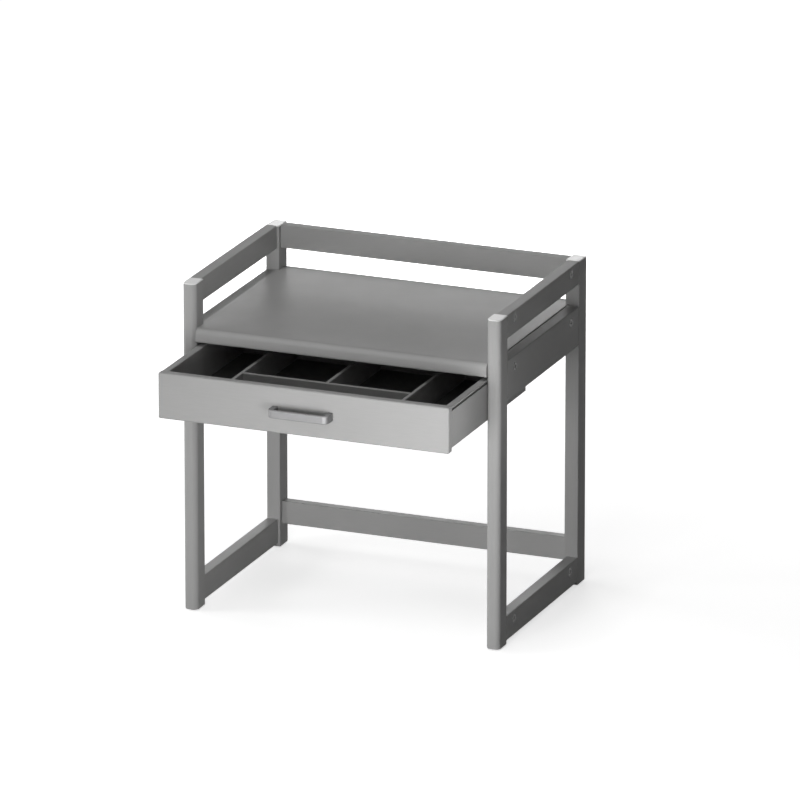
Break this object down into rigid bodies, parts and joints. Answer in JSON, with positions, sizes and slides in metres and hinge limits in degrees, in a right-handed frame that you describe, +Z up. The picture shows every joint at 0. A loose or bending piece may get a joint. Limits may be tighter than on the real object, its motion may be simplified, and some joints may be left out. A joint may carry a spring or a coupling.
{
  "type": "microwave stand with drawer",
  "caption": "Grey wooden stand that bridges an appliance, with an open shelf between side rails and a wide divided drawer with a bow handle under the shelf.",
  "frame": {"origin": "on the floor, under the middle of the whole with the drawer as modelled, part open", "axes": "+X is the right side seen from the front, +Y is the back, +Z is up"},
  "size_m": [0.56, 0.574, 0.566],
  "materials": {
    "frame_paint": "satin grey lacquer",
    "shelf_paint": "satin grey lacquer",
    "front_paint": "satin grey lacquer",
    "drawer_paint": "matt grey lacquer",
    "panel_board": "matt grey coated board",
    "tray_board": "matt grey coated board",
    "runner_steel": "zinc plated",
    "cam_zinc": "die-cast zinc",
    "glide_plastic": "moulded",
    "cap_plastic": "moulded, pale grey",
    "handle_metal": "satin silver"
  },
  "bodies": {
    "frame": {"post_front_left": "frame_paint", "post_front_right": "frame_paint", "post_rear_left": "frame_paint", "post_rear_right": "frame_paint", "top_rail_left": "frame_paint", "top_rail_right": "frame_paint", "side_board_left": "frame_paint", "side_board_right": "frame_paint", "bottom_rail_left": "frame_paint", "bottom_rail_right": "frame_paint", "back_top_rail": "frame_paint", "back_apron": "frame_paint", "back_bottom_rail": "frame_paint", "post_caps": "cap_plastic", "shelf_board": "shelf_paint", "runner_left": "runner_steel", "runner_right": "runner_steel", "frame_cams": "cam_zinc", "foot_glides": "glide_plastic"},
    "drawer": {"drawer_front": "front_paint", "drawer_side_left": "drawer_paint", "drawer_side_right": "drawer_paint", "drawer_back": "drawer_paint", "drawer_bottom": "panel_board", "divider_left": "tray_board", "divider_right": "tray_board", "divider_centre": "tray_board", "divider_cross": "tray_board", "drawer_cams": "cam_zinc", "handle": "handle_metal"}
  },
  "joints": [
    {"name": "drawer_slide", "type": "slide", "parent": "frame", "child": "drawer", "axis": [0, -1, 0], "range_m": [-0.16, 0.08]}
  ]
}
